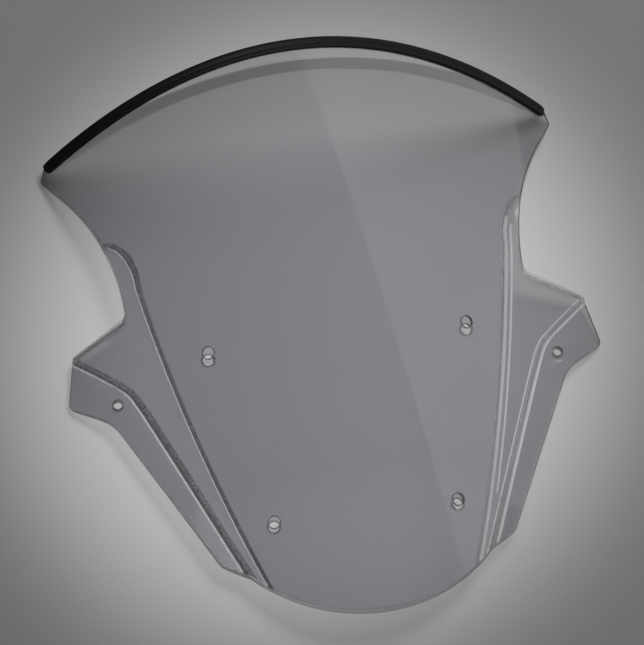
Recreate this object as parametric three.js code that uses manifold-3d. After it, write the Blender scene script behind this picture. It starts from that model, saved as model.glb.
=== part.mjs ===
// Motorcycle windscreen: a clear formed sheet with a rubber edge trim along its top edge.
// Millimetres. X runs across the screen (mirror plane X = 0), +Y to the trimmed top edge, +Z out of the bulge.
import * as THREE from 'three';
import Module from 'manifold-3d';

// ---- sheet: outline seen along Z ----
const SHEET_THICK = 3.5;
const TOP_Y = 239.5;            // top edge at the centre, under the trim
const TOP_RADIUS = 530;
const TOP_END_X = 218;          // the top edge's arc ends here
const TOP_END_RADIUS = 3;
const CORNER_X = 222;           // top corner, below the end of the trim
const CORNER_Y = 181.8;
const CORNER_RADIUS = 2.5;
const WAIST_X = 171.5;          // narrowest place, just above the side wings
const WAIST_Y = 50;
const SIDE_RADIUS = 190;
const WING_ROOT_Y = 44;
const WING_ROOT_RADIUS = 8;
const WING_TOP_X = 220;
const WING_TOP_Y = 17.5;
const WING_TOP_RADIUS = 4;
const WING_TIP_X = 229.5;
const WING_TIP_Y = -25.5;
const WING_TIP_RADIUS = 7;
const WING_HEEL_X = 195.5;
const WING_HEEL_Y = -44.5;
const WING_HEEL_RADIUS = 34;
const FLANGE_X = 125;           // lower outer corner of the mounting flange
const FLANGE_Y = -183;
const FLANGE_RADIUS = 12;
const BOTTOM_Y = -242;
const BOTTOM_RADIUS = 138;
const BOTTOM_ARC_X = 103;

// ---- sheet: formed height of the outer face ----
const CROWN_Z = 69.5;           // height of the centre line at Y = 0
const CROWN_SLOPE = 0.165;      // rise of the centre line towards +Y
const BEND = 0.00195;            // z falls by BEND * x * x
const FLARE = 0.595;            // how far the side panels turn back up
const FLARE_START = 8;
const STEP_WIDTH = 6;
const INNER_STEP_DROP = 2.5;
const OUTER_STEP_DROP = 3.5;
const INNER_STEP_FADE_Y = -206; // the inner step has faded to half its drop here
const INNER_STEP_FULL_Y = -150;

// ---- bolt holes ----
const MAIN_HOLE_RADIUS = 4.8;
const WING_HOLE_RADIUS = 3.8;
const SEAT_RADIUS = 10;         // flat spot round each hole, on both faces
const SEAT_DEPTH = 0.3;
const HOLES = [
  { x: 111, y: -5, r: MAIN_HOLE_RADIUS },         // upper pair
  { x: 78.5, y: -156.5, r: MAIN_HOLE_RADIUS },    // lower pair
  { x: 189, y: -29.5, r: WING_HOLE_RADIUS },      // wings
];

// ---- edge trim and its bonding strip ----
const TRIM_HALF_SPAN = 217.5;     // trim ends at this X
const TRIM_LEG = 6.6;           // leg length over the sheet
const TRIM_BACK = 3.0;          // top of the trim beyond the sheet edge
const TRIM_WALL = 1.5;
const TRIM_ROUND = 1.6;
const GAP = 0.3;
const STRIP_THICK = 0.8;
const STRIP_WIDTH = 2.6;
const TRIM_STATIONS = 60;

const wasm = await Module();
wasm.setup();

// ---------- shape formulas ----------
function clamp01(value) {
  return Math.min(1, Math.max(0, value));
}

function smooth(value) {
  const t = clamp01(value);
  return t * t * (3 - 2 * t);
}

// X at which the side panels begin to turn back up.
function flareStartX(y) {
  if (y > 110.5) {
    return 226;
  }
  if (y > 65) {
    const t = (y - 65) / 46;
    return 159 + 26 * (1 - Math.sqrt(1 - t * t));
  }
  const u = 65 - y;
  return 159 - 0.16 * u - 0.00034 * u * u;
}

// X of the inner step at height y: it leaves the side edge above the wings and runs down to the bottom edge.
function innerStepX(y) {
  if (y > 112.7) {
    return 226;
  }
  if (y > 66) {
    const t = (y - 66) / 47;
    return 154.7 + 31 * (1 - Math.sqrt(1 - t * t));
  }
  const u = 66 - y;
  return 154.7 - 0.16 * u - 0.00034 * u * u;
}

// X of the outer step: it leaves the wing's top corner and runs down to the bottom edge.
function outerStepX(y) {
  if (y > 20) {
    return 275;
  }
  const lower = 164.7 + 0.4106 * (y + 41);
  const upper = 180.7 + 1.25 * (y + 15);
  return 0.5 * (lower + upper + Math.sqrt((lower - upper) ** 2 + 36));
}

function baseHeight(x, y) {
  const past = Math.max(0, Math.abs(x) - flareStartX(y));
  const flare = FLARE * past * past / (past + FLARE_START);
  return CROWN_Z + CROWN_SLOPE * y - BEND * x * x + flare;
}

function stepDrop(x, y) {
  const ax = Math.abs(x);
  const fade = 0.5 + 0.5 * smooth((y - INNER_STEP_FADE_Y) / (INNER_STEP_FULL_Y - INNER_STEP_FADE_Y));
  const inner = INNER_STEP_DROP * fade * smooth((ax - innerStepX(y)) / STEP_WIDTH);
  const outer = OUTER_STEP_DROP * smooth((ax - outerStepX(y)) / STEP_WIDTH);
  return inner + outer;
}

function height(x, y) {
  return baseHeight(x, y) - stepDrop(x, y);
}

function normalAt(x, y) {
  const h = 1.5;
  const dx = (baseHeight(x + h, y) - baseHeight(x - h, y)) / (2 * h);
  const dy = (baseHeight(x, y + h) - baseHeight(x, y - h)) / (2 * h);
  return new THREE.Vector3(-dx, -dy, 1).normalize();
}

// The point of the formed sheet above plan position (x, y), lowered along the sheet's normal by depth.
function sheetPoint(x, y, depth) {
  return new THREE.Vector3(x, y, height(x, y)).addScaledVector(normalAt(x, y), -depth);
}

function topEdgeY(x) {
  return TOP_Y - TOP_RADIUS + Math.sqrt(TOP_RADIUS ** 2 - x * x);
}

function sideEdgeX(y) {
  return WAIST_X + SIDE_RADIUS - Math.sqrt(SIDE_RADIUS ** 2 - (y - WAIST_Y) ** 2);
}

// ---------- outline ----------
// Corners with a radius become tangent arcs; corners with none are kept.
function roundCorners(corners) {
  const points = [];
  for (let i = 0; i < corners.length; i += 1) {
    const here = corners[i];
    if (!here.r) {
      points.push([here.x, here.y]);
      continue;
    }
    const before = corners[i - 1];
    const after = corners[i + 1];
    const a = new THREE.Vector2(before.x - here.x, before.y - here.y).normalize();
    const b = new THREE.Vector2(after.x - here.x, after.y - here.y).normalize();
    const half = Math.acos(THREE.MathUtils.clamp(a.dot(b), -1, 1)) / 2;
    const centre = a.clone().add(b).normalize().multiplyScalar(here.r / Math.sin(half));
    const start = a.clone().multiplyScalar(here.r / Math.tan(half)).sub(centre);
    const turn = (a.x * b.y - a.y * b.x > 0 ? -1 : 1) * (Math.PI - 2 * half);
    const steps = Math.max(3, Math.ceil(Math.abs(turn) / 0.3));
    for (let k = 0; k <= steps; k += 1) {
      const p = start.clone().rotateAround(new THREE.Vector2(), turn * k / steps);
      points.push([here.x + centre.x + p.x, here.y + centre.y + p.y]);
    }
  }
  return points;
}

function halfOutline() {
  const corners = [];
  for (let x = 0; x <= 208; x += 13) {
    corners.push({ x, y: topEdgeY(x) });
  }
  corners.push({ x: TOP_END_X, y: topEdgeY(TOP_END_X), r: TOP_END_RADIUS });
  corners.push({ x: CORNER_X, y: CORNER_Y, r: CORNER_RADIUS });
  for (let y = 168; y > WAIST_Y + 4; y -= 14) {
    corners.push({ x: sideEdgeX(y), y });
  }
  corners.push({ x: WAIST_X, y: WING_ROOT_Y, r: WING_ROOT_RADIUS });
  corners.push({ x: WING_TOP_X, y: WING_TOP_Y, r: WING_TOP_RADIUS });
  corners.push({ x: WING_TIP_X, y: WING_TIP_Y, r: WING_TIP_RADIUS });
  corners.push({ x: WING_HEEL_X, y: WING_HEEL_Y, r: WING_HEEL_RADIUS });
  corners.push({ x: FLANGE_X, y: FLANGE_Y, r: FLANGE_RADIUS });
  const arcCentreY = BOTTOM_Y + BOTTOM_RADIUS;
  const arcEnd = Math.asin(BOTTOM_ARC_X / BOTTOM_RADIUS);
  const arcSteps = 10;
  for (let k = 0; k <= arcSteps; k += 1) {
    const angle = arcEnd * (1 - k / arcSteps);
    corners.push({ x: BOTTOM_RADIUS * Math.sin(angle), y: arcCentreY - BOTTOM_RADIUS * Math.cos(angle) });
  }
  return roundCorners(corners);
}

// ---------- solids ----------
function toManifold(geometry) {
  const position = geometry.getAttribute('position');
  const index = new Map();
  const vertices = [];
  const faces = [];
  const source = geometry.index ? geometry.index.array : position.array.keys();
  const count = geometry.index ? geometry.index.count : position.count;
  for (let i = 0; i < count; i += 1) {
    const v = geometry.index ? source[i] : i;
    const p = [position.getX(v), position.getY(v), position.getZ(v)];
    const key = p.map((c) => Math.round(c * 1e4)).join(',');
    if (!index.has(key)) {
      index.set(key, vertices.length / 3);
      vertices.push(...p);
    }
    faces.push(index.get(key));
  }
  const kept = [];
  for (let i = 0; i < faces.length; i += 3) {
    const [a, b, c] = faces.slice(i, i + 3);
    if (a !== b && b !== c && c !== a) {
      kept.push(a, b, c);
    }
  }
  return new wasm.Manifold(new wasm.Mesh({
    numProp: 3,
    vertProperties: new Float32Array(vertices),
    triVerts: new Uint32Array(kept),
  }));
}

function toGeometry(solid, place) {
  const mesh = solid.getMesh();
  const positions = new Float32Array(mesh.triVerts.length * 3);
  mesh.triVerts.forEach((v, i) => {
    const at = v * mesh.numProp;
    const p = [mesh.vertProperties[at], mesh.vertProperties[at + 1], mesh.vertProperties[at + 2]];
    positions.set(place ? place(p) : p, i * 3);
  });
  const geometry = new THREE.BufferGeometry();
  geometry.setAttribute('position', new THREE.BufferAttribute(positions, 3));
  return geometry;
}

// Rows of the sheet's mesh: closer together where the steps turn.
function meshRows() {
  const rows = [];
  for (let y = -252; y < -48; y += 12) {
    rows.push(y);
  }
  for (let y = -48; y < 24; y += 6) {
    rows.push(y);
  }
  for (let y = 24; y < 90; y += 12) {
    rows.push(y);
  }
  rows.push(90, 96, 101, 105, 108, 110.4, 112.6, 115);
  for (let y = 124; y <= 256; y += 12) {
    rows.push(y);
  }
  return rows;
}

// X stations of one row, from the centre outwards: the steps always fall on mesh lines.
function meshStations(y) {
  const inner = innerStepX(y);
  const outer = Math.max(outerStepX(y), inner + STEP_WIDTH + 4);
  const end = Math.max(outer + STEP_WIDTH + 6, 290);
  const stations = [];
  const runs = [[0, inner, 12], [inner, inner + STEP_WIDTH, 2], [inner + STEP_WIDTH, outer, 3],
    [outer, outer + STEP_WIDTH, 2], [outer + STEP_WIDTH, end, 4]];
  for (const [from, to, parts] of runs) {
    for (let k = 0; k < parts; k += 1) {
      stations.push(from + (to - from) * k / parts);
    }
  }
  stations.push(end);
  return stations;
}

function blankSlab() {
  const rows = meshRows();
  const stations = rows.map((y) => {
    const right = meshStations(y);
    const left = right.slice(1).reverse().map((x) => -x);
    return [...left, ...right];
  });
  const columns = stations[0].length;
  const positions = [];
  const faces = [];
  for (const depth of [0, SHEET_THICK]) {
    rows.forEach((y, r) => {
      stations[r].forEach((x) => positions.push(x, y, height(x, y) - depth));
    });
  }
  const lower = rows.length * columns;
  const at = (r, c) => r * columns + c;
  for (let r = 0; r + 1 < rows.length; r += 1) {
    for (let c = 0; c + 1 < columns; c += 1) {
      const quad = [at(r, c), at(r, c + 1), at(r + 1, c + 1), at(r + 1, c)];
      const order = c < (columns - 1) / 2 ? [0, 1, 2, 0, 2, 3] : [0, 1, 3, 1, 2, 3];
      order.forEach((k) => faces.push(quad[k]));
      [...order].reverse().forEach((k) => faces.push(quad[k] + lower));
    }
  }
  const rim = [];
  for (let c = 0; c < columns - 1; c += 1) rim.push(at(0, c));
  for (let r = 0; r < rows.length - 1; r += 1) rim.push(at(r, columns - 1));
  for (let c = columns - 1; c > 0; c -= 1) rim.push(at(rows.length - 1, c));
  for (let r = rows.length - 1; r > 0; r -= 1) rim.push(at(r, 0));
  rim.forEach((v, i) => {
    const next = rim[(i + 1) % rim.length];
    faces.push(v, v + lower, next, next, v + lower, next + lower);
  });
  const geometry = new THREE.BufferGeometry();
  geometry.setAttribute('position', new THREE.BufferAttribute(new Float32Array(positions), 3));
  geometry.setIndex(faces);
  return toManifold(geometry);
}

function outlinePrism() {
  const half = halfOutline();
  const whole = [...half, ...half.slice(1, -1).reverse().map(([x, y]) => [-x, y])];
  const shape = new THREE.Shape(whole.map(([x, y]) => new THREE.Vector2(x, y)));
  const geometry = new THREE.ExtrudeGeometry(shape, { depth: 600, bevelEnabled: false });
  geometry.translate(0, 0, -300);
  return toManifold(geometry);
}

function sheetFrame(hole, side) {
  const normal = normalAt(hole.x * side, hole.y);
  const centre = sheetPoint(hole.x * side, hole.y, SHEET_THICK / 2);
  const turn = new THREE.Quaternion().setFromUnitVectors(new THREE.Vector3(0, 1, 0), normal);
  return new THREE.Matrix4().compose(centre, turn, new THREE.Vector3(1, 1, 1));
}

function drill(solid) {
  let result = solid;
  for (const hole of HOLES) {
    for (const side of [-1, 1]) {
      const frame = sheetFrame(hole, side);
      const bore = new THREE.CylinderGeometry(hole.r, hole.r, 30, 24);
      result = result.subtract(toManifold(bore.applyMatrix4(frame)));
      for (const face of [-1, 1]) {
        const seat = new THREE.CylinderGeometry(SEAT_RADIUS, SEAT_RADIUS, 3, 24);
        seat.translate(0, face * (SHEET_THICK / 2 - SEAT_DEPTH + 1.5), 0);
        result = result.subtract(toManifold(seat.applyMatrix4(frame)));
      }
    }
  }
  return result;
}

function makeSheet() {
  const cut = blankSlab().intersect(outlinePrism());
  // The cut blank has vertical edge faces; turn them square to the formed sheet.
  const squared = toGeometry(cut, ([x, y, z]) => {
    const depth = height(x, y) - z > SHEET_THICK / 2 ? SHEET_THICK : 0;
    return sheetPoint(x, y, depth).toArray();
  });
  return toGeometry(drill(toManifold(squared)));
}

// ---------- top edge sweeps ----------
// Local frame on the sheet's top edge: inward along the sheet, and out of its face.
function edgeFrame(x) {
  const y = topEdgeY(x);
  const at = sheetPoint(x, y, SHEET_THICK / 2);
  const along = sheetPoint(x + 0.5, topEdgeY(x + 0.5), SHEET_THICK / 2)
    .sub(sheetPoint(x - 0.5, topEdgeY(x - 0.5), SHEET_THICK / 2)).normalize();
  const out = normalAt(x, y);
  const inward = new THREE.Vector3().crossVectors(along, out).normalize();
  return { at, inward, out };
}

// A closed bar: the profile [inward, out] carried along the top edge between two X values.
function edgeBar(profile, halfSpan, stations) {
  const contour = profile.map(([a, b]) => new THREE.Vector2(a, b));
  const positions = [];
  const faces = [];
  for (let s = 0; s <= stations; s += 1) {
    const frame = edgeFrame(-halfSpan + 2 * halfSpan * s / stations);
    for (const p of contour) {
      const v = frame.at.clone().addScaledVector(frame.inward, p.x).addScaledVector(frame.out, p.y);
      positions.push(v.x, v.y, v.z);
    }
  }
  const n = contour.length;
  for (let s = 0; s < stations; s += 1) {
    for (let k = 0; k < n; k += 1) {
      const a = s * n + k;
      const b = s * n + (k + 1) % n;
      faces.push(a, b, a + n, b, b + n, a + n);
    }
  }
  const last = stations * n;
  for (const [a, b, c] of THREE.ShapeUtils.triangulateShape(contour, [])) {
    faces.push(c, b, a, last + a, last + b, last + c);
  }
  const geometry = new THREE.BufferGeometry();
  geometry.setAttribute('position', new THREE.BufferAttribute(new Float32Array(positions), 3));
  geometry.setIndex(faces);
  const solid = toManifold(geometry);
  return solid.volume() > 0 ? geometry : flipped(geometry);
}

function flipped(geometry) {
  const index = geometry.index.array;
  for (let i = 0; i < index.length; i += 3) {
    [index[i], index[i + 1]] = [index[i + 1], index[i]];
  }
  return geometry;
}

function makeTrim() {
  const slot = SHEET_THICK / 2 + GAP;
  const outer = slot + TRIM_WALL;
  const floor = -(2 * GAP + STRIP_THICK);
  const profile = [[TRIM_LEG, slot], [TRIM_LEG, outer - 0.6], [TRIM_LEG - 0.6, outer]];
  for (let k = 0; k <= 4; k += 1) {
    const angle = (Math.PI / 2) * k / 4;
    const a = -TRIM_BACK + TRIM_ROUND * (1 - Math.sin(angle));
    profile.push([a, outer - TRIM_ROUND * (1 - Math.cos(angle))]);
  }
  const mirrored = profile.map(([a, b]) => [a, -b]).reverse();
  return edgeBar([...profile, ...mirrored, [floor, -slot], [floor, slot]], TRIM_HALF_SPAN, TRIM_STATIONS);
}

function makeStrip() {
  const near = -GAP;
  const far = -GAP - STRIP_THICK;
  const half = STRIP_WIDTH / 2;
  const profile = [[near, half], [far, half], [far, -half], [near, -half]];
  return edgeBar(profile, TRIM_HALF_SPAN - 2, TRIM_STATIONS);
}

// ---------- assembly ----------
function makeMesh(name, geometry, color, roughness) {
  const flat = geometry.index ? geometry.toNonIndexed() : geometry;
  flat.computeVertexNormals();
  const material = new THREE.MeshStandardMaterial({ color, roughness });
  material.name = name;
  const mesh = new THREE.Mesh(flat, material);
  mesh.name = name;
  return mesh;
}

const group = new THREE.Group();
group.name = 'windscreen';
group.add(makeMesh('screen_sheet', makeSheet(), '#a9adb0', 0.08));
group.add(makeMesh('edge_trim', makeTrim(), '#141414', 0.7));
group.add(makeMesh('trim_adhesive', makeStrip(), '#3a3a3c', 0.6));

// Stand the screen on Z = 0 and centre it in Y.
const box = new THREE.Box3();
group.children.forEach((mesh) => {
  mesh.geometry.computeBoundingBox();
  box.union(mesh.geometry.boundingBox);
});
const shiftY = -(box.min.y + box.max.y) / 2;
group.children.forEach((mesh) => mesh.geometry.translate(0, shiftY, -box.min.z));

export default group;
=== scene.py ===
"""Motorcycle windscreen lying bulge up on a pale table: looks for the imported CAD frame.

Shape formulas work in millimetres in the row frame: X across, +Y to the trimmed top edge, +Z up.
"""
import math

import bpy
import numpy as np
from mathutils import Matrix, Vector, geometry


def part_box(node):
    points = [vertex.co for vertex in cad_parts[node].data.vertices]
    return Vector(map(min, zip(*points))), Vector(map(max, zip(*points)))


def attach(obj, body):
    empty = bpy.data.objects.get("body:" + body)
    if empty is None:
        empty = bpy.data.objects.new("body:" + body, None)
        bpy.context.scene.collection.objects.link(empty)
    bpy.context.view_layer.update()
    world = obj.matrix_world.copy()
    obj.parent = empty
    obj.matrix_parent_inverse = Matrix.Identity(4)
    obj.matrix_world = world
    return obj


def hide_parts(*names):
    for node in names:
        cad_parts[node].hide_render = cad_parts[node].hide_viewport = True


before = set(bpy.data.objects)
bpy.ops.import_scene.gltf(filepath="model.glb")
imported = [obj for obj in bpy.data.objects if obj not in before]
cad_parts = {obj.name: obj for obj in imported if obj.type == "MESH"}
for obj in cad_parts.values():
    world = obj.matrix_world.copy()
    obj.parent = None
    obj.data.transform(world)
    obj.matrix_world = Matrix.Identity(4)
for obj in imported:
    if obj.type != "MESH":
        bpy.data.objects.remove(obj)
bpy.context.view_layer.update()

MM = 0.001

# ---- camera: stands back on the lower left side and looks down at the screen ----
CAMERA_PITCH = -20.62      # degrees from straight down, towards -Y
CAMERA_YAW = 9.34          # degrees towards -X
CAMERA_ROLL = 10.19
CAMERA_DISTANCE = 5324.6   # millimetres
CAMERA_AIM_X = 8.13        # object origin from the middle of the view, across and up
CAMERA_AIM_Y = -23.17
CAMERA_LENS = 351.28       # millimetres
CAMERA_SENSOR = 36.0
CAMERA_CLIP_END = 60.0     # metres

# ---- the sheet's materials, in their order on the mesh ----
# the second and sixth are painted shade and painted light on the step faces, the fourth a painted highlight
# along the creases and the fifth painted shade on the bolt holes' walls
CLEAR, FACE_PAINTED_SHADE, CUT_EDGE, CREASE_HIGHLIGHT, BORE_PAINTED_SHADE, FACE_LIT = range(6)
PAINTED_SHADE_FADE_Y = (55.0, 100.0)             # the painted shade on the inner step's face widens between these two
CREASE_HIGHLIGHT_TOP_Y = 92.0                     # top end of the painted highlight along the crease beside the right inner step
SECOND_CREASE_HIGHLIGHT_Y = (-150.0, 84.0)        # ends of the second painted highlight beside it

# ---- sheet outline and formed height, as in the CAD ----
THICK = 3.5
TOP_Y = 239.5              # top edge at the centre
TOP_RADIUS = 530.0
TOP_END = (218.0, 3.0)     # X where the top edge's arc ends, and the radius there
WAIST_X = 171.5            # narrowest place of the curved side edge
WAIST_Y = 50.0
SIDE_RADIUS = 190.0
CORNER = (222.0, 181.8, 2.5)            # corners: X, Y and radius
WING_ROOT = (171.5, 44.0, 8.0)
WING_TOP = (220.0, 17.5, 4.0)
WING_TIP = (229.5, -25.5, 7.0)
WING_HEEL = (195.5, -44.5, 34.0)
FLANGE = (125.0, -183.0, 12.0)
BOTTOM_Y = -242.0
BOTTOM_RADIUS = 138.0
BOTTOM_ARC_X = 103.0
CROWN_Z = 69.5             # height of the centre line at Y = 0
CROWN_SLOPE = 0.165        # rise of the centre line towards +Y
BEND = 0.00195             # the height falls by BEND * x * x
FLARE = 0.595              # how far the side panels turn back up
FLARE_START = 8.0
STEP_WIDTH = 6.0
STEP_FACE = 4.2            # width of the slanted face itself, in the middle of the step
INNER_DROP = 2.5
OUTER_DROP = 3.5
FADE_Y = -206.0            # the inner step has faded to half its drop here
FULL_Y = -150.0
HOLES = ((111.0, -5.0, 4.8), (78.5, -156.5, 4.8), (189.0, -29.5, 3.8))     # X, Y and radius, on both sides
SEAT_RADIUS = 7.5          # flat spot round each hole
SEAT_BLEND = 2.5
SEAT_DEPTH = 0.12
LIP_WIDTH = 5.0            # rolled edge along the top of each wing
LIP_DROP = 1.8
LIP_FADE = 4.0             # the rolled edge fades in over this much of X on each side of the wing's root
LIP_ABOVE_ROOT = 3.0       # how far above the wing's root, and down to which Y, it can be found
LIP_LOW_Y = -20.0

# Lines down a side panel: Y of the bend, X there, length and reach of the curve above it, Y of its top end.
FLARE_LINE = (65.0, 159.0, 46.0, 26.0, 110.5)
INNER_STEP_LINE = (66.0, 154.7, 47.0, 31.0, 112.7)
LINE_SLOPE = 0.16          # below the bend the line leans in by this per millimetre
LINE_CURVE = 0.00034
PAST_SIDE_X = 226.0        # above its top end a line lies past the sheet's side edge
# Outer step: X and Y of a point on each straight run, and the run's slope.
OUTER_LOWER_RUN = (164.7, -41.0, 0.4106)
OUTER_UPPER_RUN = (180.7, -15.0, 1.25)
OUTER_BLEND = 6.0          # rounds the bend between the two runs
OUTER_TOP_Y = 20.0
PAST_WING_X = 275.0
STEP_BEND = 0.28           # share of a step's slanted face taken by the radius at each end
NORMAL_REACH = 1.5         # distance over which the sheet's overall slope is measured
SHADING_REACH = 0.6        # and its slope for shading

# ---- fine mesh ----
EDGE_STEP = 4              # between points along the curved edges, before corners are rounded
ARC_LAST_X = 208           # last point of the top edge's arc before its end
SIDE_HIGH_Y = 168          # the curved side edge is drawn between these two
SIDE_LOW_Y = 53
BOTTOM_PARTS = 40
ARC_PITCH = 1.2
EDGE_PITCH = 2.5
GRID = 4.0
GRID_X = 232.0
GRID_Y = 244.0
INNER_ROWS_Y = (-232.0, 112.0)          # Y range of the closer rows along each step
OUTER_ROWS_Y = (-210.0, 19.0)
GRID_CLEAR = (-4.0, 12.5)               # the plain grid keeps out of this band along a step
LIP_ROWS = (1.7, 2.6, 3.6, 4.6, 5.6)    # rows along the rolled edge, in from the wing's top edge
LIP_MIDDLE = 3.6
LIP_CLEAR = 2.6
LIP_START_X = 158.0
LIP_RUN = (-0.16, 1.0, 37)              # start, end and number of their points, from the root to the top
SEAT_RINGS = (6.6, 7.6, 8.8, 10.0)      # rings of points round each hole
SEAT_RING_POINTS = 32
SEAT_CLEAR = 10.8
RIM_CLEAR = 1.6            # no free point is nearer than this to an edge
# Lines of points along each step, past its start.
STEP_LINES = np.array([-3.6, -2.4, -1.2, 0.0, 0.9, 1.5, 2.1, 3.0, 3.9, 4.5, 5.1, 6.0, 6.6, 8.0, 9.4, 10.6])
STEP_PITCH = 1.52          # between points along a step
MERGE_DISTANCE = 1e-4
EDGE_ROUND = 0.45
RIM_ROUND = 0.95           # worn rim round each bolt hole
# Rings of an edge's wall: distance in from the edge, depth, and lean of its normal towards the outer face.
EDGE_RINGS = ((0.13, 0.13, 0.7), (0.0, 0.5, 0.0), (0.0, THICK - 0.5, 0.0), (0.13, THICK - 0.13, -0.7))
RIM_RINGS = ((0.50, 0.32, 0.8), (0.12, 0.75, 0.4), (0.12, THICK - 0.75, -0.4), (0.50, THICK - 0.32, -0.8))

# ---- trim ----
TRIM_SPAN = 217.5
TRIM_LEG = 6.6
TRIM_BACK = 3.0
TRIM_WALL = 1.5
TRIM_STATIONS = 170
TRIM_GAP = 0.3             # from the sheet to the inside of a leg
TRIM_LIP_STANDOFF = 0.03   # from the sheet to the tip of a lip
TRIM_SLOT_STANDOFF = 0.25  # from the sheet to the inside of the channel
TRIM_FLOOR = -1.4          # inside of the back, beyond the sheet's edge
TRIM_ROUND = 2.2           # radius of the back
TRIM_GROOVE = (2.7, 3.05, 3.4, 0.18)    # start, middle, end and depth of the groove in each leg
TRIM_MIDDLE = 1.8          # the section shrinks about this distance in from the sheet's edge
TRIM_END_SHRINK = (0.80, 0.96)          # at the last station and the one before it
TRIM_SPLIT_ANGLE = math.radians(40.0)   # edges sharper than this are shaded as creases


# ---------- shape formulas, on numpy arrays ----------
def smooth(value):
    t = np.clip(value, 0.0, 1.0)
    return t * t * (3.0 - 2.0 * t)


def bent_line(y, bend_y, x, length, reach, top_y):
    """X of a line down the side panel that turns out to the side edge above bend_y."""
    t = np.clip((y - bend_y) / length, 0.0, 0.9999)    # ends just before the curve runs straight out
    u = np.maximum(bend_y - y, 0.0)
    curved = x + reach * (1.0 - np.sqrt(1.0 - t * t))
    straight = x - LINE_SLOPE * u - LINE_CURVE * u * u
    return np.where(y > top_y, PAST_SIDE_X, np.where(y > bend_y, curved, straight))


def flare_start_x(y):
    return bent_line(y, *FLARE_LINE)


def inner_step_x(y):
    return bent_line(y, *INNER_STEP_LINE)


def outer_step_x(y):
    lower, upper = (x + slope * (y - at_y) for x, at_y, slope in (OUTER_LOWER_RUN, OUTER_UPPER_RUN))
    line = 0.5 * (lower + upper + np.sqrt((lower - upper) ** 2 + OUTER_BLEND ** 2))
    return np.where(y > OUTER_TOP_Y, PAST_WING_X, line)


def step_profile(past):
    """0 before the step and 1 after it, with small radii at both ends of a straight slanted face."""
    t = np.clip((past - (STEP_WIDTH - STEP_FACE) / 2.0) / STEP_FACE, 0.0, 1.0)
    scale = 1.0 / (1.0 - STEP_BEND)
    low = t * t / (2.0 * STEP_BEND)
    high = 1.0 / scale - (1.0 - t) ** 2 / (2.0 * STEP_BEND)
    middle = t - STEP_BEND / 2.0
    return scale * np.where(t < STEP_BEND, low, np.where(t > 1.0 - STEP_BEND, high, middle))


def base_height(x, y):
    """Height of the outer face without its steps: a bent sheet whose side panels turn back up."""
    past = np.maximum(0.0, np.abs(x) - flare_start_x(y))
    flare = FLARE * past * past / (past + FLARE_START)
    return CROWN_Z + CROWN_SLOPE * y - BEND * x * x + flare


def wing_inset(ax, y):
    """Distance in from the straight top edge of a wing."""
    along = np.array([WING_TOP[0] - WING_ROOT[0], WING_TOP[1] - WING_ROOT[1]])
    along = along / np.hypot(*along)
    return (ax - WING_ROOT[0]) * along[1] - (y - WING_ROOT[1]) * along[0]


def beside_wing_top(y):
    return (y < WING_ROOT[1] + LIP_ABOVE_ROOT) & (y > LIP_LOW_Y)


def formed_height(x, y):
    """Height of the outer face with both steps and the wings' rolled edges."""
    ax = np.abs(x)
    fade = 0.5 + 0.5 * smooth((y - FADE_Y) / (FULL_Y - FADE_Y))
    inner = INNER_DROP * fade * step_profile(ax - inner_step_x(y))
    outer = OUTER_DROP * step_profile(ax - outer_step_x(y))
    lip = LIP_DROP * np.clip(1.0 - wing_inset(ax, y) / LIP_WIDTH, 0.0, 1.0) ** 2
    lip = lip * smooth((ax - WING_ROOT[0] + LIP_FADE) / (2.0 * LIP_FADE))
    lip = np.where(beside_wing_top(y), lip, 0.0)
    return base_height(x, y) - inner - outer - lip


def slope_normal(height, x, y, h):
    """Unit normal of a height formula, measured over h on each side."""
    dx = (height(x + h, y) - height(x - h, y)) / (2.0 * h)
    dy = (height(x, y + h) - height(x, y - h)) / (2.0 * h)
    n = np.stack([-dx, -dy, np.ones_like(dx)], axis=-1)
    return n / np.linalg.norm(n, axis=-1, keepdims=True)


def seats():
    """X, Y, height and normal at each bolt hole, and the hole's radius."""
    found = []
    for hx, hy, radius in HOLES:
        for side in (-1.0, 1.0):
            x, y = np.array(side * hx), np.array(hy)
            normal = slope_normal(base_height, x, y, NORMAL_REACH)
            found.append((side * hx, hy, float(formed_height(x, y)), normal, radius))
    return found


SEATS = seats()


def sheet_height(x, y):
    """The formed height with a small flat round each bolt hole."""
    z = formed_height(x, y)
    for sx, sy, sz, n, _ in SEATS:
        away = np.hypot(x - sx, y - sy)
        flat = sz - SEAT_DEPTH - (n[0] * (x - sx) + n[1] * (y - sy)) / n[2]
        w = 1.0 - smooth((away - SEAT_RADIUS) / SEAT_BLEND)
        z = z * (1.0 - w) + flat * w
    return z


def sheet_side(x, y):
    """Direction through the sheet: the base normal, held still round each bolt hole."""
    n = slope_normal(base_height, x, y, NORMAL_REACH)
    for sx, sy, _, fixed, _ in SEATS:
        w = (1.0 - smooth((np.hypot(x - sx, y - sy) - SEAT_RADIUS) / SEAT_BLEND))[..., None]
        n = n * (1.0 - w) + fixed * w
    return n / np.linalg.norm(n, axis=-1, keepdims=True)


def sheet_points(plan, depth):
    """Points of the sheet above plan positions, at a depth below the outer face."""
    x, y = plan[:, 0], plan[:, 1]
    top = np.stack([x, y, sheet_height(x, y)], axis=-1)
    return top - sheet_side(x, y) * np.reshape(depth, (-1, 1))


def top_edge_y(x):
    return TOP_Y - TOP_RADIUS + np.sqrt(TOP_RADIUS ** 2 - x * x)


def side_edge_x(y):
    return WAIST_X + SIDE_RADIUS - np.sqrt(SIDE_RADIUS ** 2 - (y - WAIST_Y) ** 2)


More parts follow.
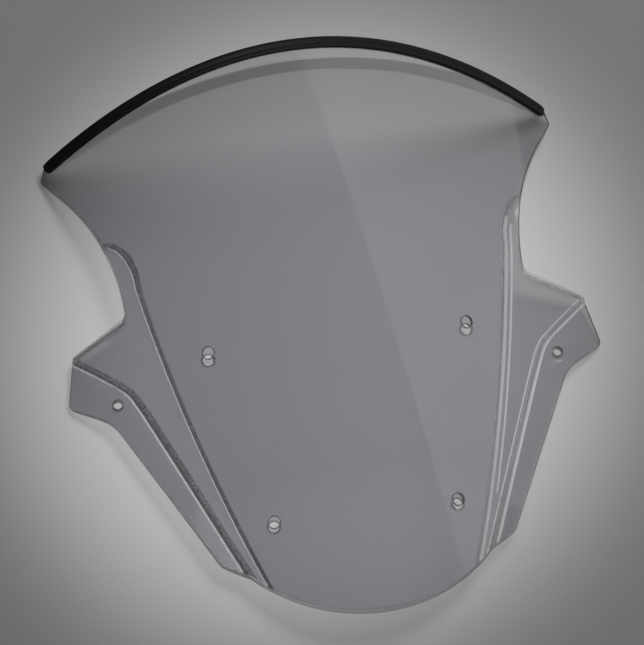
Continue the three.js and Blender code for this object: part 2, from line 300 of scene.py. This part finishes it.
# ---------- outline ----------
def round_corners(corners):
    """Corners with a third value, their radius, become tangent arcs."""
    points = []
    for i, corner in enumerate(corners):
        here = np.array(corner[:2])
        if len(corner) == 2:
            points.append(here)
            continue
        a = np.array(corners[i - 1][:2]) - here
        b = np.array(corners[i + 1][:2]) - here
        a, b = a / np.hypot(*a), b / np.hypot(*b)
        half = math.acos(float(np.clip(a @ b, -1.0, 1.0))) / 2.0
        centre = (a + b) / np.hypot(*(a + b)) * corner[2] / math.sin(half)
        start = a * corner[2] / math.tan(half) - centre
        turn = (-1.0 if a[0] * b[1] - a[1] * b[0] > 0.0 else 1.0) * (math.pi - 2.0 * half)
        steps = max(5, int(abs(turn) * corner[2] / ARC_PITCH))
        for k in range(steps + 1):
            c, s = math.cos(turn * k / steps), math.sin(turn * k / steps)
            turned = np.array([c * start[0] - s * start[1], s * start[0] + c * start[1]])
            points.append(here + centre + turned)
    return points


def outline():
    """The whole plan outline, clockwise from the middle of the top edge."""
    right = [(float(x), float(top_edge_y(x))) for x in range(0, ARC_LAST_X + 1, EDGE_STEP)]
    right.append((TOP_END[0], float(top_edge_y(TOP_END[0])), TOP_END[1]))
    right.append(CORNER)
    right += [(float(side_edge_x(y)), float(y)) for y in range(SIDE_HIGH_Y, SIDE_LOW_Y, -EDGE_STEP)]
    right += [WING_ROOT, WING_TOP, WING_TIP, WING_HEEL, FLANGE]
    arc_end = math.asin(BOTTOM_ARC_X / BOTTOM_RADIUS)
    for k in range(BOTTOM_PARTS + 1):
        angle = arc_end * (1.0 - k / BOTTOM_PARTS)
        y = BOTTOM_Y + BOTTOM_RADIUS * (1.0 - math.cos(angle))
        right.append((BOTTOM_RADIUS * math.sin(angle), y))
    half = np.array(round_corners(right))
    return evenly(np.vstack([half, (half * [-1.0, 1.0])[-2:0:-1]]), EDGE_PITCH)


def evenly(loop, pitch):
    """Long straight runs of a closed loop are divided, so that no edge is longer than pitch."""
    points = []
    for a, b in zip(loop, np.roll(loop, -1, axis=0)):
        parts = max(1, int(math.ceil(np.hypot(*(b - a)) / pitch)))
        points += [a + (b - a) * k / parts for k in range(parts)]
    return np.array(points)


def loop_outward(loop):
    """Unit vectors out of a clockwise loop, in its plane."""
    along = np.roll(loop, -1, axis=0) - np.roll(loop, 1, axis=0)
    along /= np.linalg.norm(along, axis=1, keepdims=True)
    return np.stack([-along[:, 1], along[:, 0]], axis=-1)


def hole_loop(seat, radius, count=48):
    """A true circle in the sheet's own plane, seen from above and running anticlockwise."""
    sx, sy, _, n, _ = seat
    u = np.cross([0.0, 1.0, 0.0], n)
    u /= np.linalg.norm(u)
    v = np.cross(n, u)
    turn = np.linspace(0.0, 2.0 * math.pi, count, endpoint=False)
    return np.stack([sx + radius * (np.cos(turn) * u[0] + np.sin(turn) * v[0]),
                     sy + radius * (np.cos(turn) * u[1] + np.sin(turn) * v[1])], axis=-1)


def inside_loop(points, loop):
    """Which points lie inside a closed loop: a ray from each crosses it an odd number of times."""
    x, y = points[:, 0:1], points[:, 1:2]
    ax, ay = loop[:, 0], loop[:, 1]
    bx, by = np.roll(ax, -1), np.roll(ay, -1)
    crosses = (ay > y) != (by > y)
    at = ax + (y - ay) / np.where(by == ay, 1.0, by - ay) * (bx - ax)
    return (np.sum(crosses & (x < at), axis=1) % 2) == 1


def interior_points(loop, keep_off):
    """A plain grid, with closer rows along both steps, the wings' rolled edges and round the holes."""
    xs = np.arange(-GRID_X, GRID_X + GRID / 2.0, GRID)
    ys = np.arange(-GRID_Y, GRID_Y + GRID / 2.0, GRID)
    gx, gy = np.meshgrid(xs, ys)
    grid = np.stack([gx.ravel(), gy.ravel()], axis=-1)
    ax = np.abs(grid[:, 0])
    far = np.ones(len(grid), bool)
    rows = []
    for line, (low, high) in ((inner_step_x, INNER_ROWS_Y), (outer_step_x, OUTER_ROWS_Y)):
        past = ax - line(grid[:, 1])
        far &= (past < GRID_CLEAR[0]) | (past > GRID_CLEAR[1])
        y = np.arange(low, high, STEP_PITCH)
        for off in STEP_LINES:
            for side in (-1.0, 1.0):
                rows.append(np.stack([side * (line(y) + off), y], axis=-1))
    near_lip = np.abs(wing_inset(ax, grid[:, 1]) - LIP_MIDDLE) < LIP_CLEAR
    far &= ~((ax > LIP_START_X) & (grid[:, 1] > 0.0) & near_lip)
    run = np.linspace(*LIP_RUN)[:, None]
    edge = np.array(WING_ROOT[:2]) * (1.0 - run) + np.array(WING_TOP[:2]) * run
    along = edge[-1] - edge[0]
    inward = np.array([along[1], -along[0]]) / np.hypot(*along)
    for inset in LIP_ROWS:
        line = edge + inward * inset
        rows += [line, line * [-1.0, 1.0]]
    points = np.vstack([grid[far]] + rows)
    for seat in SEATS:
        points = points[np.hypot(points[:, 0] - seat[0], points[:, 1] - seat[1]) > SEAT_CLEAR]
    rings = [hole_loop(seat, radius, SEAT_RING_POINTS) for seat in SEATS for radius in SEAT_RINGS]
    points = np.vstack([points] + rings)
    points = points[inside_loop(points, loop)]
    gap = np.min(np.linalg.norm(points[:, None, :] - keep_off[None, ::2, :], axis=2), axis=1)
    return points[gap > RIM_CLEAR]


def triangulate(loop, holes, free):
    """Plan points and triangles of the sheet, with the holes left open and every triangle facing up."""
    verts = [Vector(p) for p in np.vstack([loop] + holes + [free])]
    edges = []
    start = 0
    for ring in [loop] + holes:
        n = len(ring)
        edges += [(start + i, start + (i + 1) % n) for i in range(n)]
        start += n
    plan, _, faces, *_ = geometry.delaunay_2d_cdt(verts, edges, [], 1, MERGE_DISTANCE)
    plan = np.array([[v.x, v.y] for v in plan])
    faces = np.array([f for f in faces if len(f) == 3])
    middle = plan[faces].mean(axis=1)
    keep = inside_loop(middle, loop)
    for ring in holes:
        keep &= ~inside_loop(middle, ring)
    faces = faces[keep]
    a, b, c = plan[faces[:, 0]], plan[faces[:, 1]], plan[faces[:, 2]]
    turn = (b[:, 0] - a[:, 0]) * (c[:, 1] - a[:, 1]) - (b[:, 1] - a[:, 1]) * (c[:, 0] - a[:, 0])
    faces[turn < 0.0] = faces[turn < 0.0][:, ::-1]
    return plan, faces


# ---------- mesh helpers ----------
def new_object(name, verts_mm, faces, materials, normals=None, face_material=None):
    mesh = bpy.data.meshes.new(name)
    mesh.from_pydata((np.asarray(verts_mm) * MM).tolist(), [], [list(map(int, f)) for f in faces])
    mesh.update()
    for material in materials:
        mesh.materials.append(material)
    if face_material is not None:
        mesh.polygons.foreach_set("material_index", np.asarray(face_material, dtype=np.int32))
    mesh.polygons.foreach_set("use_smooth", np.ones(len(mesh.polygons), dtype=bool))
    if normals is not None:
        mesh.normals_split_custom_set_from_vertices(np.asarray(normals).tolist())
    made = bpy.data.objects.new(name, mesh)
    bpy.context.scene.collection.objects.link(made)
    return made


# ---------- nodes ----------
class Nodes:
    """Small helper round a material's node tree."""

    def __init__(self, name):
        self.material = bpy.data.materials.new(name)
        self.material.use_nodes = True
        self.tree = self.material.node_tree
        self.tree.nodes.clear()
        self.out = self.add("ShaderNodeOutputMaterial")

    def add(self, kind, values=None, **fields):
        node = self.tree.nodes.new(kind)
        for key, value in fields.items():
            setattr(node, key, value)
        for key, value in (values or {}).items():
            node.inputs[key].default_value = value
        return node

    def link(self, source, target):
        self.tree.links.new(source, target)

    def noise(self, scale, detail, rough, stretch=(1.0, 1.0, 1.0)):
        place = self.add("ShaderNodeTexCoord")
        mapping = self.add("ShaderNodeMapping", {"Scale": stretch})
        self.link(place.outputs["Object"], mapping.inputs["Vector"])
        noise = self.add("ShaderNodeTexNoise", {"Scale": scale, "Detail": detail, "Roughness": rough})
        self.link(mapping.outputs["Vector"], noise.inputs["Vector"])
        return noise.outputs["Fac"]

    def ramp(self, source, low, high, start, end):
        node = self.add("ShaderNodeMapRange", {"From Min": low, "From Max": high,
                                               "To Min": start, "To Max": end})
        node.clamp = True
        self.link(source, node.inputs["Value"])
        return node.outputs["Result"]

    def mixed(self, source, color_a, color_b):
        """A colour mix; its sockets 6 and 7 are its two colours."""
        node = self.add("ShaderNodeMix", {6: (*color_a, 1.0), 7: (*color_b, 1.0)}, data_type="RGBA")
        self.link(source, node.inputs[0])
        return node.outputs[2]

    def bump(self, source, distance, strength, below=None):
        node = self.add("ShaderNodeBump", {"Distance": distance, "Strength": strength})
        self.link(source, node.inputs["Height"])
        if below is not None:
            self.link(below, node.inputs["Normal"])
        return node.outputs["Normal"]


TINT = (0.712, 0.708, 0.728)
BOTTOM_PAINTED_LIGHT = 1.30      # painted light: base colour at the sheet's bottom edge against the rest
BOTTOM_FROM = -0.24        # metres of Y over which that fades out
BOTTOM_TO = -0.12
DUST_SHADE = 0.72          # base colour of the dust specks, and of the specks on a step's face
SPECK_SHADE = 0.35
SPECKED_GRAIN = 0.5        # faces with more grain than this have specks

# Name, base colour, colour of the light that passes, roughness, grain and share that is see-through; in the
# order of the clear sheet, the step faces' painted shade, the cut edge, the creases' painted highlight, the
# bolt holes' painted shade and the step faces' painted light.
PLASTICS = (
    ("clear_grey_plastic", TINT, TINT, 0.012, 0.0, 1.0),
    ("painted_shade_step_face_plastic", (0.58, 0.58, 0.595), (0.58, 0.58, 0.59), 0.12, 0.6, 1.0),
    ("cut_edge_plastic", (0.42, 0.42, 0.44), (0.30, 0.30, 0.31), 0.2, 0.4, 0.85),
    ("crease_highlight_plastic", (0.82, 0.82, 0.84), (0.80, 0.80, 0.82), 0.25, 0.3, 0.55),
    ("painted_shade_bore_plastic", (0.16, 0.16, 0.17), (0.12, 0.12, 0.12), 0.2, 0.4, 0.8),
    ("lit_face_plastic", (0.62, 0.62, 0.64), (0.62, 0.62, 0.63), 0.14, 0.4, 0.9),
)


def shaded(color, share):
    return tuple(share * c for c in color)


def dust_and_painted_light_tint(n, tint):
    """The clear sheet's base colour: lighter towards its bottom edge as painted light, with fine dust."""
    dust = n.ramp(n.noise(310.0, 2.0, 0.5), 0.70, 0.78, 0.0, 1.0)
    place = n.add("ShaderNodeTexCoord")
    split = n.add("ShaderNodeSeparateXYZ")
    n.link(place.outputs["Object"], split.inputs["Vector"])
    # painted light: the base colour grows lighter towards the bottom edge
    low = n.ramp(split.outputs["Y"], BOTTOM_FROM, BOTTOM_TO, 1.0, 0.0)
    dusty = n.add("ShaderNodeMix", {7: (*shaded(tint, DUST_SHADE), 1.0)}, data_type="RGBA")
    n.link(dust, dusty.inputs[0])
    n.link(n.mixed(low, tint, shaded(tint, BOTTOM_PAINTED_LIGHT)), dusty.inputs[6])
    return dusty.outputs[2]


def specked_tint(n, tint):
    speck = n.ramp(n.noise(650.0, 3.0, 0.8), 0.42, 0.58, 0.0, 1.0)
    return n.mixed(speck, shaded(tint, SPECK_SHADE), tint)


def clear_plastic(name, tint, passed, roughness, grain, clearness):
    """Clear grey plastic: glass to look through, and a plain grey filter for the light that passes it."""
    n = Nodes(name)
    glass = n.add("ShaderNodeBsdfPrincipled", {"Base Color": (*tint, 1.0), "IOR": 1.5,
                                               "Transmission Weight": clearness})
    if grain == 0.0:
        n.link(dust_and_painted_light_tint(n, tint), glass.inputs["Base Color"])
    elif grain > SPECKED_GRAIN:
        n.link(specked_tint(n, tint), glass.inputs["Base Color"])
    cloud = n.noise(9.0, 4.0, 0.6)
    rough = n.ramp(cloud, 0.3, 0.75, roughness * 0.6, roughness * 1.6)
    n.link(rough, glass.inputs["Roughness"])
    ripple = n.noise(14.0, 2.0, 0.4, (1.0, 0.35, 1.0))
    normal = n.bump(ripple, 0.00022, 0.12)
    scratch = n.ramp(n.noise(60.0, 1.0, 0.4, (6.0, 0.12, 1.0)), 0.70, 0.76, 0.0, 1.0)
    normal = n.bump(scratch, 0.00008, 0.25, normal)
    if grain > 0.0:
        normal = n.bump(n.noise(900.0, 3.0, 0.6), 0.00035, grain, normal)
    n.link(normal, glass.inputs["Normal"])
    clear = n.add("ShaderNodeBsdfTransparent", {"Color": (*passed, 1.0)})
    path = n.add("ShaderNodeLightPath")
    mix = n.add("ShaderNodeMixShader")
    n.link(path.outputs["Is Shadow Ray"], mix.inputs["Fac"])
    n.link(glass.outputs["BSDF"], mix.inputs[1])
    n.link(clear.outputs["BSDF"], mix.inputs[2])
    n.link(mix.outputs["Shader"], n.out.inputs["Surface"])
    return n.material


def rubber(name, color, worn):
    """Satin black rubber with fine grain and faint grooves along X."""
    n = Nodes(name)
    shader = n.add("ShaderNodeBsdfPrincipled", {"IOR": 1.52, "Specular IOR Level": 0.22})
    fine = n.noise(1400.0, 4.0, 0.6)
    cloud = n.noise(26.0, 4.0, 0.6)
    n.link(n.mixed(cloud, color, worn), shader.inputs["Base Color"])
    n.link(n.ramp(fine, 0.3, 0.7, 0.42, 0.62), shader.inputs["Roughness"])
    grooves = n.noise(160.0, 2.0, 0.5, (0.08, 1.0, 1.0))
    normal = n.bump(fine, 0.0002, 0.35)
    n.link(n.bump(grooves, 0.0003, 0.15, normal), shader.inputs["Normal"])
    n.link(shader.outputs["BSDF"], n.out.inputs["Surface"])
    return n.material


def table_top(name):
    """Matt pale paint."""
    n = Nodes(name)
    shader = n.add("ShaderNodeBsdfPrincipled", {"Specular IOR Level": 0.15})
    cloud = n.noise(2.0, 2.0, 0.5)
    n.link(n.mixed(cloud, (0.78, 0.78, 0.78), (0.80, 0.80, 0.80)), shader.inputs["Base Color"])
    n.link(n.ramp(n.noise(40.0, 3.0, 0.5), 0.3, 0.7, 0.75, 0.85), shader.inputs["Roughness"])
    n.link(shader.outputs["BSDF"], n.out.inputs["Surface"])
    return n.material


# ---------- pieces ----------
def row_shift():
    """How far the CAD moved the formulas' shape to centre it and stand it on Z = 0."""
    low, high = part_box("screen_sheet")
    crown = CROWN_Z + CROWN_SLOPE * TOP_Y
    return np.array([0.0, low[1] / MM - BOTTOM_Y, high[2] / MM - crown])


SHIFT = row_shift()


def build_sheet(materials):
    """The whole sheet: outer and under faces, a rounded edge and a worn rim in each hole."""
    outer = outline()
    away = loop_outward(outer)
    plan_loop = outer - away * EDGE_ROUND
    hole_loops = [hole_loop(seat, seat[-1] + RIM_ROUND) for seat in SEATS]
    free = interior_points(plan_loop, np.vstack([plan_loop] + hole_loops))
    plan, faces = triangulate(plan_loop, hole_loops, free)
    count = len(plan)
    top = sheet_points(plan, np.zeros(count))
    under = sheet_points(plan, np.full(count, THICK))
    up = slope_normal(sheet_height, plan[:, 0], plan[:, 1], SHADING_REACH)
    verts = [top, under]
    normals = [up, -up]
    all_faces = [tuple(f) for f in faces] + [tuple(f[::-1] + count) for f in faces]
    kinds = list(step_kind(plan[faces].mean(axis=1))) * 2
    total = 2 * count

    def add_wall(loop, outward, start, kind, section):
        """A rounded wall from the top face's loop to the under face's; start is the loop's first vertex."""
        nonlocal total
        n = len(loop)
        rings = [np.arange(start, start + n)]
        for inset, depth, lean in section:
            ring = loop - outward * inset
            verts.append(sheet_points(ring, np.full(n, depth)))
            side = np.hstack([outward, np.zeros((n, 1))]) * math.sqrt(1.0 - lean * lean)
            facing = side + sheet_side(ring[:, 0], ring[:, 1]) * lean
            normals.append(facing / np.linalg.norm(facing, axis=1, keepdims=True))
            rings.append(np.arange(total, total + n))
            total += n
        rings.append(rings[0] + count)
        for a, b in zip(rings, rings[1:]):
            for i in range(n):
                j = (i + 1) % n
                all_faces.append((a[i], a[j], b[j], b[i]))
                kinds.append(kind)

    add_wall(outer, away, 0, CUT_EDGE, EDGE_RINGS)
    start = len(outer)
    for seat in SEATS:
        loop = hole_loop(seat, seat[-1])
        inward = np.array(seat[:2]) - loop
        # the bolt holes' walls get a near-black base colour: painted shade
        add_wall(loop, inward / np.linalg.norm(inward, axis=1, keepdims=True), start, BORE_PAINTED_SHADE, RIM_RINGS)
        start += len(loop)
    points = np.vstack(verts) + SHIFT
    return new_object("screen_sheet_fine", points, all_faces, materials, np.vstack(normals), kinds)


def step_kind(plan):
    """Material index of each face: painted shade and painted light on the step faces, with painted highlights
    along the creases beside them, and painted shade along each wing's rolled edge.

    Each band runs between two offsets in millimetres past a step's line, or in from a wing's top edge.
    """
    x, y = plan[:, 0], plan[:, 1]
    outer = np.abs(x) - outer_step_x(y)
    inner = np.abs(x) - inner_step_x(y)
    inset = wing_inset(np.abs(x), y)
    # the step faces on +X get painted light and those on -X painted shade
    lit = x > 0.0
    on_wing = (np.abs(x) > WING_ROOT[0] + 1.0) & beside_wing_top(y)
    painted_shade_fading = np.clip((y - PAINTED_SHADE_FADE_Y[0]) / (PAINTED_SHADE_FADE_Y[1] - PAINTED_SHADE_FADE_Y[0]), 0.0, 1.0)
    kind = np.full(len(plan), CLEAR)

    def paint(offset, low, high, index, where):
        kind[(offset > low) & (offset < high) & where] = index

    paint(outer, -1.2, 5.1, FACE_PAINTED_SHADE, ~lit)
    # painted highlights: light bands along the creases beside each step
    paint(outer, 5.1, 6.6, CREASE_HIGHLIGHT, ~lit)
    paint(outer, -2.4, -1.2, CREASE_HIGHLIGHT, lit)
    paint(outer, -1.2, 3.0, FACE_LIT, lit)
    paint(outer, 3.0, 6.6, CREASE_HIGHLIGHT, lit)
    paint(inner, 2.1 * (1.0 - painted_shade_fading), 5.1, FACE_PAINTED_SHADE, ~lit)
    paint(inner, 5.1, 6.0, CREASE_HIGHLIGHT, ~lit)
    paint(inner, 0.9, 3.0, FACE_LIT, lit)
    paint(inner, 3.0, 6.0, CREASE_HIGHLIGHT, lit & (y < CREASE_HIGHLIGHT_TOP_Y))
    paint(inner, 9.4, 10.6, CREASE_HIGHLIGHT, lit & (y < SECOND_CREASE_HIGHLIGHT_Y[1]) & (y > SECOND_CREASE_HIGHLIGHT_Y[0]))
    # painted shade: a dark band along each wing's rolled edge
    paint(inset, 2.6, 4.6, FACE_PAINTED_SHADE, on_wing & (outer < 0.0))
    return kind


def edge_frames(xs):
    """Middle of the sheet's top edge, inward along the sheet, and out of its face."""
    def middle(x):
        return sheet_points(np.stack([x, top_edge_y(x)], axis=-1), np.full(len(x), THICK / 2.0))
    along = middle(xs + 0.5) - middle(xs - 0.5)
    along /= np.linalg.norm(along, axis=1, keepdims=True)
    out = sheet_side(xs, top_edge_y(xs))
    inward = np.cross(along, out)
    inward /= np.linalg.norm(inward, axis=1, keepdims=True)
    return middle(xs), inward, out


def trim_profile():
    """Closed section (in from the edge, out of the face): lips, grooved legs, a rounded back, the channel."""
    slot = THICK / 2.0
    outer = slot + TRIM_GAP + TRIM_WALL
    inside = slot + TRIM_SLOT_STANDOFF
    half = [(TRIM_LEG - 0.9, inside), (TRIM_LEG - 0.3, slot + TRIM_LIP_STANDOFF), (TRIM_LEG, slot + 0.18)]
    half += [(TRIM_LEG, outer - 0.9), (TRIM_LEG - 0.2, outer - 0.35), (TRIM_LEG - 0.7, outer - 0.05),
             (TRIM_LEG - 1.2, outer)]
    start, middle, end, depth = TRIM_GROOVE
    half += [(end, outer), (middle, outer - depth), (start, outer)]
    for angle in np.linspace(0.0, math.pi / 2.0, 9):
        back = -TRIM_BACK + TRIM_ROUND * (1.0 - math.sin(angle))
        half.append((back, outer - TRIM_ROUND * (1.0 - math.cos(angle))))
    return half + [(a, -b) for a, b in reversed(half)] + [(TRIM_FLOOR, -inside), (TRIM_FLOOR, inside)]


def build_trim(material):
    """The edge trim: its section carried along the sheet's top edge, a little smaller at both ends."""
    profile = np.array(trim_profile())
    n = len(profile)
    xs = np.linspace(-TRIM_SPAN, TRIM_SPAN, TRIM_STATIONS + 1)
    at, inward, out = edge_frames(xs)
    shrink = np.ones(len(xs))
    for k, share in enumerate(TRIM_END_SHRINK):
        shrink[[k, -1 - k]] = share
    centre = np.array([TRIM_MIDDLE, 0.0])
    nearest = THICK / 2.0 + TRIM_LIP_STANDOFF
    verts = []
    for s in range(len(xs)):
        section = centre + (profile - centre) * shrink[s]
        inner = np.abs(section[:, 1]) < nearest
        section[inner, 1] = np.sign(section[inner, 1]) * nearest
        verts.append(at[s] + section[:, :1] * inward[s] + section[:, 1:] * out[s])
    faces = []
    for s in range(TRIM_STATIONS):
        for k in range(n):
            a, b = s * n + k, s * n + (k + 1) % n
            faces.append((a, b, b + n, a + n))
    faces += [tuple(range(n))[::-1], tuple(range(TRIM_STATIONS * n, TRIM_STATIONS * n + n))]
    made = new_object("edge_trim_fine", np.vstack(verts) + SHIFT, faces, (material,))
    shade = made.modifiers.new("angle", "EDGE_SPLIT")
    shade.split_angle = TRIM_SPLIT_ANGLE
    return made


# ---------- stage ----------
def place_camera():
    pitch, yaw, roll = (math.radians(a) for a in (CAMERA_PITCH, CAMERA_YAW, CAMERA_ROLL))
    turn = Matrix.Rotation(roll, 3, "Z") @ Matrix.Rotation(pitch, 3, "X") @ Matrix.Rotation(yaw, 3, "Y")
    back = turn.transposed()
    position = back @ (Vector((-CAMERA_AIM_X, -CAMERA_AIM_Y, CAMERA_DISTANCE)) * MM)
    camera = bpy.data.objects.new("camera", bpy.data.cameras.new("camera"))
    bpy.context.scene.collection.objects.link(camera)
    camera.matrix_world = Matrix.Translation(position) @ back.to_4x4()
    camera.data.lens = CAMERA_LENS
    camera.data.sensor_width = CAMERA_SENSOR
    camera.data.clip_end = CAMERA_CLIP_END
    bpy.context.scene.camera = camera


def add_light(name, kind, energy, position, aim=(0.0, 0.0, 0.0), turn=0.0, **fields):
    data = bpy.data.lights.new(name, kind)
    data.energy = energy
    for key, value in fields.items():
        setattr(data, key, value)
    lamp = bpy.data.objects.new(name, data)
    bpy.context.scene.collection.objects.link(lamp)
    look = (Vector(aim) - Vector(position)).to_track_quat("-Z", "Y").to_matrix().to_4x4()
    lamp.matrix_world = Matrix.Translation(position) @ look @ Matrix.Rotation(turn, 4, "Z")
    return lamp


KEY_LEAN_X = -0.130        # sideways lean of the key light per metre of height
KEY_LEAN_Y = -0.215
KEY_HEIGHT = 9.0
KEY_POWER = 1930.0
KEY_AIM = (-0.010, 0.010, 0.0)
KEY_CONE = 4.05            # full angle of the pool of light, degrees
KEY_BLEND = 1.0
KEY_SIZE = 0.06
KEY_STRETCH = 1.09
FILL_POWER = 104.0         # large soft light from the upper right, for the soft shadow on the lower left
FILL_PLACE = (2.4, 3.4, 4.4)
FILL_SIZE = 2.8
PANEL_POWER = 118.0        # overhead panel whose edge is the line across the sheet
PANEL_HEIGHT = 2.5
PANEL_EDGE = Vector((0.405, 0.415))     # a point on the near edge of the panel
PANEL_TURN = math.radians(-16.3)
PANEL_LONG = 14.0
PANEL_DEEP = 7.0
PANEL_BEFORE = 0.2         # how far the panel runs back along its edge from that point
ROOM_DARK = 0.02           # brightness of the room on the left and on the right, seen only in reflections
ROOM_BRIGHT = 0.45
ROOM_LEFT = -0.75          # X of the direction where each is reached
ROOM_RIGHT = 0.35
TABLE_SIZE = 6.0           # half the side of the table top
TABLE_DROP = 0.0004        # the table top lies this far under the sheet


def set_table():
    corners = [(-1.0, -1.0), (1.0, -1.0), (1.0, 1.0), (-1.0, 1.0)]
    mesh = bpy.data.meshes.new("table")
    mesh.from_pydata([(x * TABLE_SIZE, y * TABLE_SIZE, -TABLE_DROP) for x, y in corners], [], [(0, 1, 2, 3)])
    mesh.materials.append(table_top("table_paint"))
    floor = bpy.data.objects.new("table", mesh)
    bpy.context.scene.collection.objects.link(floor)


def set_room():
    """A grey room, brighter towards +X, that only reflections see."""
    world = bpy.data.worlds.new("studio")
    bpy.context.scene.world = world
    world.use_nodes = True
    world.cycles_visibility.diffuse = False
    tree = world.node_tree
    background = tree.nodes["Background"]
    background.inputs["Color"].default_value = (1.0, 1.0, 1.0, 1.0)
    direction = tree.nodes.new("ShaderNodeTexCoord")
    split = tree.nodes.new("ShaderNodeSeparateXYZ")
    level = tree.nodes.new("ShaderNodeMapRange")
    level.inputs["From Min"].default_value = ROOM_LEFT
    level.inputs["From Max"].default_value = ROOM_RIGHT
    level.inputs["To Min"].default_value = ROOM_DARK
    level.inputs["To Max"].default_value = ROOM_BRIGHT
    tree.links.new(direction.outputs["Generated"], split.inputs["Vector"])
    tree.links.new(split.outputs["X"], level.inputs["Value"])
    tree.links.new(level.outputs["Result"], background.inputs["Strength"])


def set_lights():
    place = Vector((KEY_LEAN_X, KEY_LEAN_Y, 1.0)) * KEY_HEIGHT
    key = add_light("key", "SPOT", KEY_POWER, place, KEY_AIM, spot_size=math.radians(KEY_CONE),
                    spot_blend=KEY_BLEND, shadow_soft_size=KEY_SIZE)
    key.scale.y = KEY_STRETCH
    along = Vector((math.cos(PANEL_TURN), math.sin(PANEL_TURN)))
    across = Vector((-along.y, along.x))
    middle = PANEL_EDGE + along * (PANEL_LONG / 2.0 - PANEL_BEFORE) + across * (PANEL_DEEP / 2.0)
    panel = add_light("panel", "AREA", PANEL_POWER, (*middle, PANEL_HEIGHT), (*middle, 0.0), PANEL_TURN,
                      shape="RECTANGLE", size=PANEL_LONG, size_y=PANEL_DEEP)
    panel.visible_diffuse = False
    fill = add_light("fill", "AREA", FILL_POWER, FILL_PLACE, shape="DISK", size=FILL_SIZE)
    fill.visible_glossy = False


place_camera()
set_table()
set_room()
set_lights()
bpy.context.scene.view_settings.view_transform = "Standard"
bpy.context.scene.cycles.caustics_refractive = False
sheet = build_sheet([clear_plastic(*plastic) for plastic in PLASTICS])
trim = build_trim(rubber("trim_rubber", (0.003, 0.003, 0.0035), (0.007, 0.007, 0.0075)))
for piece, node in ((sheet, "screen_sheet"), (trim, "edge_trim")):
    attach(piece, "root")
    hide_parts(node)
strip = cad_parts["trim_adhesive"]
strip.data.materials.clear()
strip.data.materials.append(rubber("bonding_strip", (0.03, 0.03, 0.032), (0.05, 0.05, 0.052)))
